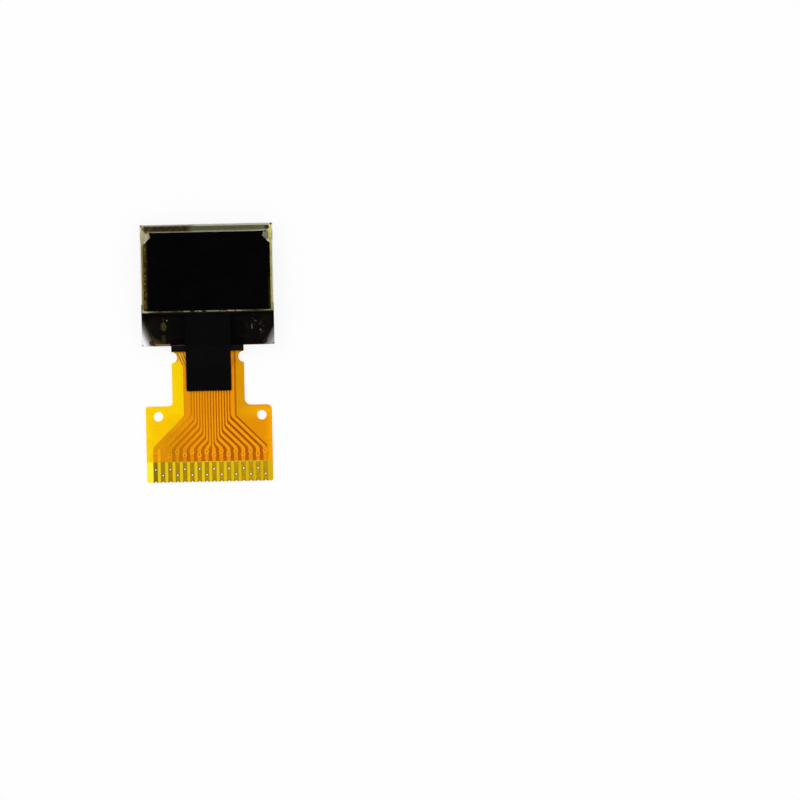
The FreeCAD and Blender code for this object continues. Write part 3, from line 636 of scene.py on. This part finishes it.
scuffed = resin_finish.both(resin_finish.window(3.4, 5.3, -6.2, -4.4, 0.3), resin_finish.clouds(1.6, 0.5, 0.72))
resin_finish.layer(tone(54, 42, 40), scuffed, 0.6)
resin_finish.vary("Roughness", resin_finish.clouds(3.0), 0.4, 0.7)
resin_finish.bump(20.0, 0.006)
dress("ledge_resin", resin_finish)
dress("edge_filler", resin_finish)
print("resin dressed")

# %% [markdown]
# ## Black tape
#
# The tape over the front and the one behind are the same matt black film with a fine grain. Its fold is in the solid
# already, so the finish only has to keep it from looking like flat ink: the roughness changes slowly over it.

# %% Tape finish
tape_finish = Finish("black_tape", tone(1, 1, 1), Roughness=0.6, Specular_IOR_Level=0.05)
tape_finish.layer(tone(6, 5, 6), tape_finish.clouds(2.5, 0.4, 0.7), 0.5)
tape_finish.vary("Roughness", tape_finish.clouds(6.0), 0.5, 0.75)
tape_finish.bump(30.0, 0.0015)
dress("shield_tape", tape_finish)
dress("rear_tape", tape_finish)
print("tape dressed")

# %% [markdown]
# ## The tail's base film, away from the traces
#
# Amber film looks bright yellow where light passes through it and orange where copper backs it. Here the base is
# opaque and its tone stands in for that light, set by place: bright yellow on the left, then painted shade that turns
# it amber on the right, with a warmer right ear.

# %% Base film: the open film
COVER_END = -17.5
base_finish = Finish("base_film", tone(255, 228, 0), Roughness=0.45, Specular_IOR_Level=0.1)
base_finish.layer(tone(255, 208, 0), base_finish.window(-5.3, -2.0, -17.6, -13.2, 0.5), 0.8)
# painted shade: the open film darkens from bright yellow to amber towards the right
base_finish.layer(tone(219, 162, 0), base_finish.ramp(EAST, -1.5, 2.6))
right_ear = base_finish.both(base_finish.ramp(EAST, 1.8, 5.0), base_finish.before(NORTH, -12.9, -12.2))
base_finish.layer(tone(252, 186, 0), right_ear)
base_finish.layer(tone(230, 148, 0), base_finish.window(2.4, 5.25, -17.6, -13.5, 0.5), 0.85)
print("open film mixed")

# %% [markdown]
# ## The base film between the traces
#
# Between the traces the film gets painted shade, brown-orange and darker to the right, so the gaps draw the traces. The
# fan's outline is where two slanting half planes and a window meet. At the lower left the copper nearly fills the gaps,
# so they are as bright as the traces. The bare strip under the pads is bright yellow at its left end and olive yellow
# elsewhere.

# %% Base film: gaps between the traces and bare foot
NORTH_WEST, NORTH_EAST = (-0.707, 0.707, 0.0), (0.707, 0.707, 0.0)
fan_left = base_finish.before(NORTH_WEST, -7.92, -7.82)
fan_right = base_finish.before(NORTH_EAST, -7.82, -7.72)
under_fan = base_finish.both(fan_left, fan_right, base_finish.window(-5.2, 5.12, -17.6, -12.0, 0.03))
under_traces = base_finish.either(under_fan, base_finish.window(-2.36, 2.3, -17.6, -6.0, 0.03))
# painted shade between the traces, deeper to the right, along the right rail and near the pads
base_finish.layer(tone(194, 106, 0), under_traces)
base_finish.layer(tone(138, 54, 0), base_finish.both(under_traces, base_finish.ramp(EAST, -1.6, 1.6)), 0.95)
base_finish.layer(tone(182, 88, 0), base_finish.window(2.26, 2.42, -13.3, -7.2, 0.03))
base_finish.layer(tone(176, 82, 0), base_finish.both(under_fan, base_finish.before(NORTH, -16.8, -15.6)), 0.7)
filled = base_finish.both(under_fan, base_finish.window(-4.95, -3.75, -17.5, -14.8, 0.15))
base_finish.layer(tone(234, 144, 2), filled, 0.9)
base_finish.layer(tone(255, 184, 10), base_finish.window(-4.85, -4.56, -17.5, -15.7, 0.08), 0.9)
bare = base_finish.before(NORTH, COVER_END - 0.03, COVER_END + 0.03)
base_finish.layer(tone(255, 242, 50), bare)
base_finish.layer(tone(232, 194, 14), base_finish.both(bare, base_finish.ramp(EAST, -5.35, -4.5)), 0.9)
base_finish.layer(tone(206, 166, 6), base_finish.both(bare, base_finish.ramp(EAST, -1.0, 5.0)), 0.7)
base_finish.layer(tone(190, 120, 0), base_finish.clouds(1.0, 0.4, 0.75), 0.06)
base_finish.bump(8.0, 0.0005)
print("gaps and bare foot mixed")

# %% [markdown]
# ## The flared traces beside the tape
#
# At the top of the neck the left-most copper flares outwards, and three curved lines cross it before they dip under
# the tape. The lines are only a tone in the film, so they are stripes of the same ramp group, held to a small window.
# A band of painted shadow darkens the film just below the edge filler.

# %% Flared traces, and the base film gets its finish
FLARE_OUT = (-0.936, -0.352, 0.0)
FLARE_LINES = (4.86, 5.095, 5.31)
HALF_LINE = 0.045


def flare(finish):
    """Bright copper and dark slanting lines at the neck's top left, and a band of painted shadow across the neck's top.
    """
    corner = finish.window(-2.86, -1.95, -8.75, -7.05, 0.08)
    finish.layer(tone(255, 196, 56), finish.both(corner, finish.before(FLARE_OUT, 5.3, 5.36)), 0.9)
    for line in FLARE_LINES:
        stripe = finish.band(FLARE_OUT, line - HALF_LINE, line + HALF_LINE, 0.015)
        finish.layer(tone(160, 84, 0), finish.both(corner, stripe), 0.95)
    # painted shadow across the top of the neck, below the edge filler
    finish.layer(tone(110, 56, 4), finish.window(-3.4, 3.3, -7.62, -6.5, 0.1), 0.6)


base_finish.layer(tone(204, 146, 6), base_finish.window(-3.1, -2.5, -8.3, -6.9, 0.25), 0.8)
flare(base_finish)
dress("flex_base", base_finish)
print("base film dressed")

# %% [markdown]
# ## Copper traces
#
# The traces are rolled copper under amber film, so they look orange rather than like bare metal. A fully metallic
# finish would mirror the dim room overhead, so only a tenth of it is metal. They are brightest where they fan out on
# the right and duller near the pads.

# %% Trace finish
copper_finish = Finish(
    "copper_trace", tone(236, 160, 6), Metallic=0.1, Roughness=0.5, Specular_IOR_Level=0.1
)
copper_finish.layer(tone(250, 162, 8), copper_finish.ramp(EAST, -1.8, 1.5), 0.9)
in_fan = copper_finish.both(copper_finish.ramp(EAST, -3.0, 0.5), copper_finish.before(NORTH, -14.0, -12.8))
copper_finish.layer(tone(253, 176, 12), in_fan, 0.65)
copper_finish.layer(tone(228, 134, 4), copper_finish.before(NORTH, -17.2, -16.2), 0.5)
copper_finish.layer(tone(214, 130, 4), copper_finish.window(-5.3, -2.2, -17.6, -14.6, 0.5), 0.5)
copper_finish.layer(tone(210, 118, 6), copper_finish.clouds(3.0, 0.5, 0.8), 0.2)
flare(copper_finish)
copper_finish.bump(8.0, 0.0005)
dress("front_traces", copper_finish)
print("traces dressed")

# %% [markdown]
# ## Pads and plated holes
#
# The bare pads are plated, dull olive gold with a little tarnish, and darkest at the left end and along the cut foot.
# The plating of the holes is brighter on the right, with dark patches, and the filled holes under the film are a
# burnt orange.

# %% Plating finishes
plating_finish = Finish(
    "pad_plating", tone(172, 138, 2), Metallic=0.1, Roughness=0.5, Specular_IOR_Level=0.1
)
plating_finish.layer(tone(200, 160, 8), plating_finish.ramp(EAST, -4.5, 4.0), 0.85)
plating_finish.layer(tone(128, 100, 0), plating_finish.before(EAST, -4.75, -4.4), 0.8)
plating_finish.layer(tone(156, 122, 4), plating_finish.clouds(2.5), 0.5)
plating_finish.layer(tone(96, 66, 4), plating_finish.before(NORTH, -19.35, -19.1), 0.8)
plating_finish.vary("Roughness", plating_finish.clouds(6.0), 0.4, 0.65)
plating_finish.bump(25.0, 0.001)
dress("contact_pads", plating_finish)
dress("rear_pads", plating_finish)
via_finish = Finish("via_plating", tone(120, 86, 6), Metallic=0.3, Roughness=0.4)
via_finish.layer(tone(176, 140, 30), via_finish.ramp(EAST, -5.0, 3.0), 0.8)
via_finish.layer(tone(84, 56, 4), via_finish.clouds(8.0), 0.5)
via_finish.layer(tone(58, 34, 2), via_finish.before(EAST, -4.6, -3.6), 0.9)
dress("plated_vias", via_finish)
plug_finish = Finish("filled_via", tone(196, 98, 0), Metallic=0.2, Roughness=0.5)
plug_finish.layer(tone(160, 74, 0), plug_finish.clouds(9.0), 0.5)
dress("covered_vias", plug_finish)
print("plating dressed")

# %% [markdown]
# ## Cover films
#
# The cover film is a clear amber film over the traces. As a veil of alpha it tints the copper and the base under it,
# and its smooth face gives the tail its soft gloss. Both films are slimmer copies, because they lie on the copper.

# %% Cover film finish
cover_finish = Finish("cover_film", tone(255, 168, 0), Roughness=0.3, Alpha=0.1, Specular_IOR_Level=0.15)
cover_finish.layer(tone(255, 214, 0), cover_finish.before(EAST, -3.4, -1.8))
cover_finish.layer(tone(232, 140, 0), cover_finish.clouds(1.5), 0.5)
cover_finish.vary("Roughness", cover_finish.clouds(5.0), 0.24, 0.4)
cover_finish.bump(4.0, 0.001)
wear(slim_copy("front_cover_film", "front_cover_sheet"), cover_finish)
wear(slim_copy("rear_cover_film", "rear_cover_sheet"), cover_finish)

# %% [markdown]
# ## Thin trim
#
# Real panels carry tiny flat things that the main solids leave out, from lands round the covered holes to chips in the
# glass. A texture could draw them, but then they wouldn't be in the mesh. Each is a thin plate with its own outline,
# so one helper makes closed prisms from outlines, or rings from pairs of outlines.

# %% Helper: thin plates and rings
def many_sided(east, north, radius, sides=20, stretch=1.0, turn=0.0):
    """Corners of a round or stretched outline, in millimetres."""
    angles = [turn + math.tau * step / sides for step in range(sides)]
    return [(east + radius * math.cos(a) * stretch, north + radius * math.sin(a)) for a in angles]


def thin_plates(name, outlines, low, high, finish):
    """One piece of closed prisms. Each outline is a list of corners, or a pair of lists for a ring."""
    mesh = bmesh.new()
    for outline in outlines:
        ring = isinstance(outline, tuple)
        rows = []
        for loop in outline if ring else (outline,):
            for height in (low, high):
                rows.append([mesh.verts.new((x * MM, y * MM, height * MM)) for x, y in loop])
        walls = [(0, 1), (3, 2), (1, 3), (2, 0)] if ring else [(0, 1)]
        count = len(rows[0])
        for step in range(count):
            after = (step + 1) % count
            for near, far in walls:
                mesh.faces.new((rows[near][step], rows[near][after], rows[far][after], rows[far][step]))
        if not ring:
            mesh.faces.new(rows[1])
            mesh.faces.new(rows[0][::-1])
    data = bpy.data.meshes.new(name)
    mesh.to_mesh(data)
    mesh.free()
    piece = bpy.data.objects.new(name, data)
    bpy.context.scene.collection.objects.link(piece)
    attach(piece, "root")
    wear(piece, finish)
    print(name, "outlines:", len(outlines))


# %% [markdown]
# ## Lands round the covered holes
#
# Each trace has a filled hole just above its pad, in two staggered rows. The plating round it presses up through the
# cover film as a small bright ring, so a ring of its own lies on the trace at each hole.

# %% Lands
PAD_COUNT = 16
PAD_PITCH = 0.664
PAD_MIDDLE = -0.05
FIRST_PAD = PAD_MIDDLE - (PAD_COUNT - 1) / 2 * PAD_PITCH
TAIL_FOOT = -19.35
EVEN_ROW, ODD_ROW = 2.45, 2.75
LAND_RADIUS, LAND_BORE = 0.22, 0.085
TRACE_TOP = 0.14
land_finish = Finish("via_ring", tone(255, 170, 22), Roughness=0.5, Specular_IOR_Level=0.2)
land_finish.layer(tone(234, 140, 8), land_finish.clouds(6.0), 0.6)
land_finish.layer(tone(226, 140, 8), land_finish.before(EAST, -3.4, -1.6), 0.85)
lands = []
for number in range(PAD_COUNT):
    centre = (FIRST_PAD + number * PAD_PITCH, TAIL_FOOT + (ODD_ROW if number % 2 else EVEN_ROW))
    lands.append((many_sided(*centre, LAND_RADIUS), many_sided(*centre, LAND_BORE)))
thin_plates("covered_via_lands", lands, TRACE_TOP + 0.004, TRACE_TOP + 0.012, land_finish)

# %% [markdown]
# ## Beads with painted highlights at the cover film's end
#
# Where the cover film ends, its adhesive is squeezed out over each trace as a tiny bead, and its pale colour is a
# painted highlight on the film's cut edge. The three left-most traces show none. A bead is a flat wedge with slightly
# uneven ends.

# %% Beads with painted highlights
FIRST_BEAD_HIGHLIGHT = 3
# painted highlight: the pale colour of the beads, brighter towards the right
bead_highlight_finish = Finish("film_bead_highlight", tone(255, 206, 120), Roughness=0.4)
bead_highlight_finish.layer(tone(232, 150, 30), bead_highlight_finish.clouds(4.0, 0.35, 0.6), 0.7)
bead_highlight_finish.layer(tone(214, 150, 20), bead_highlight_finish.before(EAST, -3.4, 1.0), 0.7)
bead_highlight_shape = [(-0.12, -0.07), (0.1, -0.075), (0.14, -0.005), (-0.14, -0.005)]
bead_highlights = []
for number in range(FIRST_BEAD_HIGHLIGHT, PAD_COUNT):
    east = FIRST_PAD + number * PAD_PITCH
    bead_highlights.append([(east + across, COVER_END + down) for across, down in bead_highlight_shape])
thin_plates("cover_end_bead_highlights", bead_highlights, TRACE_TOP + 0.002, TRACE_TOP + 0.02, bead_highlight_finish)

# %% [markdown]
# ## Brown marks and painted shade in the glass's corners
#
# The top corners carry small brown marks between the glasses, a ring and dots of uneven outline. The very corners of
# the front glass get painted shade where their chamfered edges turn dark: four tiny dark spots just under its face.

# %% Corner marks and painted corner shade
BETWEEN_LOW, BETWEEN_HIGH = 0.5504, 0.5516
CORNER_SHADE_LOW, CORNER_SHADE_HIGH = 1.03, 1.045
brown_finish = Finish("brown_mark", tone(58, 40, 14), Roughness=0.5)
brown_finish.layer(tone(24, 16, 8), brown_finish.clouds(5.0), 0.8)
corner_marks = [
    (many_sided(-5.6, 3.62, 0.17, 8), many_sided(-5.6, 3.62, 0.075, 8)),
    many_sided(-5.45, 3.28, 0.09, 6, turn=0.4),
    many_sided(5.5, 3.62, 0.19, 9, 1.15),
    many_sided(5.33, 3.29, 0.1, 5, turn=0.2),
]
thin_plates("corner_marks", corner_marks, BETWEEN_LOW, BETWEEN_HIGH, brown_finish)
corner_shade_finish = Finish("painted_corner_shade", tone(30, 28, 30), Roughness=0.7)
corner_shade_finish.layer(tone(70, 66, 70), corner_shade_finish.clouds(9.0), 0.5)
corner_shade_spots = [
    many_sided(-5.9, 3.9, 0.075, 7),
    many_sided(5.88, 3.9, 0.1, 6),
    many_sided(-5.92, -6.9, 0.06, 7),
    many_sided(5.91, -6.88, 0.075, 6),
]
# painted shade: tiny dark spots at the four corners of the front glass
thin_plates("corner_shade_spots", corner_shade_spots, CORNER_SHADE_LOW, CORNER_SHADE_HIGH, corner_shade_finish)

# %% [markdown]
# ## Flecks, smudges and the bond line
#
# Behind the ledge's glass a few pale flecks of dust and dim smudges are caught in the resin, and a red-brown line of
# bond shows where the tail slips under the glass. They lie between glass and resin, on the same level as the marks.

# %% Flecks, smudges and bond line
fleck_finish = Finish("pale_fleck", tone(170, 160, 138), Roughness=0.6)
fleck_finish.layer(tone(100, 90, 76), fleck_finish.clouds(7.0), 0.6)
flecks = [
    many_sided(-3.73, -4.68, 0.055, 6),
    many_sided(4.74, -5.66, 0.055, 6),
    many_sided(3.97, -5.12, 0.028, 5),
    [(3.935, -5.2), (3.97, -5.2), (3.995, -5.55), (3.96, -5.56)],
]
thin_plates("resin_flecks", flecks, BETWEEN_LOW, BETWEEN_HIGH, fleck_finish)
smudge_finish = Finish("dim_smudge", tone(62, 54, 50), Roughness=0.7)
smudge_finish.layer(tone(24, 18, 18), smudge_finish.clouds(7.0, 0.4, 0.6), 0.8)
smudges = [
    many_sided(-4.02, -4.6, 0.05, 7, 1.7),
    many_sided(4.3, -4.85, 0.07, 8, 1.9, 0.3),
    many_sided(4.72, -5.12, 0.05, 6, 1.4),
    many_sided(4.05, -4.62, 0.05, 6, 1.2),
    many_sided(5.02, -5.35, 0.05, 6),
]
thin_plates("resin_smudges", smudges, BETWEEN_LOW, BETWEEN_HIGH, smudge_finish)
squeeze_finish = Finish("bond_squeeze", tone(104, 50, 34), Roughness=0.5)
squeeze_finish.layer(tone(30, 16, 12), squeeze_finish.clouds(3.0, 0.45, 0.6), 0.9)
squeeze = [(-3.3, -6.985), (-2.06, -6.985), (-2.06, -6.93), (-2.6, -6.9), (-3.3, -6.92)]
thin_plates("bond_squeeze", [squeeze], BETWEEN_LOW, BETWEEN_HIGH, squeeze_finish)

# %% [markdown]
# ## Floor
#
# The object lies on a plain white sweep. Lit paper alone would turn grey at its edges, so wherever the camera or a
# reflection looks at it, most of it is plain white light and the rest is paper, which keeps a soft shadow.

# %% Floor
HALF_FLOOR = 0.6
FLOOR_DROP = -0.02 * MM
WHITE_SHARE = 0.86
PAPER_LEVEL = 0.94
corner_signs = ((-1, -1), (1, -1), (1, 1), (-1, 1))
floor_corners = [(HALF_FLOOR * x, HALF_FLOOR * y, FLOOR_DROP) for x, y in corner_signs]
floor_mesh = bpy.data.meshes.new("floor")
floor_mesh.from_pydata(floor_corners, [], [(0, 1, 2, 3)])
floor = bpy.data.objects.new("floor", floor_mesh)
bpy.context.scene.collection.objects.link(floor)
floor_material = bpy.data.materials.new("white_sweep")
floor_material.use_nodes = True
floor_tree = floor_material.node_tree
floor_tree.nodes.clear()
paper = add_node(floor_tree, "ShaderNodeBsdfDiffuse", {"Color": (PAPER_LEVEL, PAPER_LEVEL, PAPER_LEVEL, 1.0)})
white = add_node(floor_tree, "ShaderNodeEmission", {"Color": (1.0, 1.0, 1.0, 1.0), "Strength": 1.0})
rays = add_node(floor_tree, "ShaderNodeLightPath")
seen = add_node(floor_tree, "ShaderNodeMath", operation="MAXIMUM")
seen_any = add_node(floor_tree, "ShaderNodeMath", operation="MAXIMUM")
share = add_node(floor_tree, "ShaderNodeMath", {1: WHITE_SHARE}, operation="MULTIPLY")
mixed = add_node(floor_tree, "ShaderNodeMixShader")
out = add_node(floor_tree, "ShaderNodeOutputMaterial")
feed(floor_tree, rays.outputs["Is Camera Ray"], seen.inputs[0])
feed(floor_tree, rays.outputs["Is Glossy Ray"], seen.inputs[1])
feed(floor_tree, seen.outputs[0], seen_any.inputs[0])
feed(floor_tree, rays.outputs["Is Transmission Ray"], seen_any.inputs[1])
feed(floor_tree, seen_any.outputs[0], share.inputs[0])
feed(floor_tree, share.outputs[0], mixed.inputs["Fac"])
feed(floor_tree, paper.outputs[0], mixed.inputs[1])
feed(floor_tree, white.outputs[0], mixed.inputs[2])
feed(floor_tree, mixed.outputs[0], out.inputs["Surface"])
floor.data.materials.append(floor_material)
print("floor laid")

# %% [markdown]
# ## Room and lamps
#
# An even white room would be mirrored by the polariser and turn it grey. This one is bright near the horizon and dim
# overhead, like a room with a dark card held over the object, so that glossy black stays black when it is seen from
# above. Two wide lamps give the edges their shape.

# %% World and lamps
CARD_EDGE = (0.75, 0.95)
ROOM_LEVEL, CARD_LEVEL = 0.95, 0.03
LOOK_AT = Vector((0.0, -7.0, 0.0)) * MM
world = bpy.data.worlds.new("studio_room")
bpy.context.scene.world = world
world.use_nodes = True
room = world.node_tree
background = room.nodes["Background"]
background.inputs["Color"].default_value = (1.0, 1.0, 1.0, 1.0)
direction = add_node(room, "ShaderNodeTexCoord")
parts = add_node(room, "ShaderNodeSeparateXYZ")
levels = {"From Min": CARD_EDGE[0], "From Max": CARD_EDGE[1], "To Min": ROOM_LEVEL, "To Max": CARD_LEVEL}
card = add_node(room, "ShaderNodeMapRange", levels, interpolation_type="SMOOTHSTEP")
feed(room, direction.outputs["Generated"], parts.inputs[0])
feed(room, parts.outputs["Z"], card.inputs["Value"])
feed(room, card.outputs["Result"], background.inputs["Strength"])


def wide_lamp(name, place_mm, size_mm, watts):
    """A wide soft lamp that looks at the object."""
    data = bpy.data.lights.new(name, "AREA")
    data.shape = "SQUARE"
    data.size = size_mm * MM
    data.energy = watts
    lamp = bpy.data.objects.new(name, data)
    lamp.location = Vector(place_mm) * MM
    lamp.rotation_euler = (LOOK_AT - lamp.location).to_track_quat("-Z", "Y").to_euler()
    bpy.context.scene.collection.objects.link(lamp)


wide_lamp("lamp_left", (-260.0, 120.0, 220.0), 180.0, 0.42)
wide_lamp("lamp_right", (240.0, -160.0, 200.0), 160.0, 0.26)
print("room lit")
